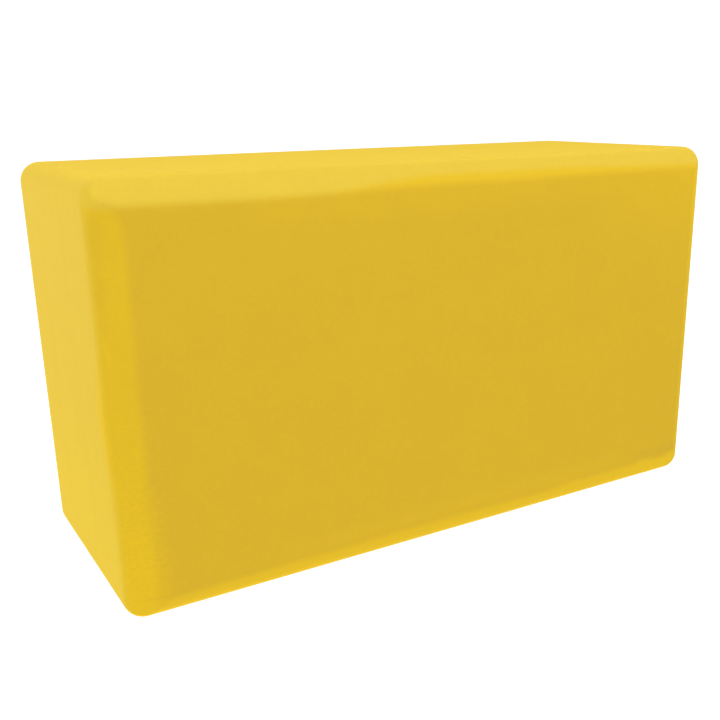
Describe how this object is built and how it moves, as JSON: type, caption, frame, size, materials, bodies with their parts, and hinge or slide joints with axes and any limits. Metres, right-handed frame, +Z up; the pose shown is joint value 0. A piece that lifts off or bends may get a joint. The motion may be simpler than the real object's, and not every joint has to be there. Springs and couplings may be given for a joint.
{
  "type": "foam yoga block",
  "caption": "Rectangular foam yoga block of bonded slabs with rounded edges, a firm light prop that rests on any of its faces.",
  "frame": {"origin": "middle of the base, the long narrow side that the block stands on", "axes": "+X along the length, +Y through the thickness from the front face to the rear face, +Z up"},
  "size_m": [0.229, 0.089, 0.129],
  "materials": {
    "outer_foam": "matte",
    "core_foam": "matte",
    "adhesive": "satin"
  },
  "bodies": {
    "root": {"front_slab": "outer_foam", "core_slab": "core_foam", "rear_slab": "outer_foam", "front_bond_film": "adhesive", "rear_bond_film": "adhesive"}
  },
  "joints": []
}
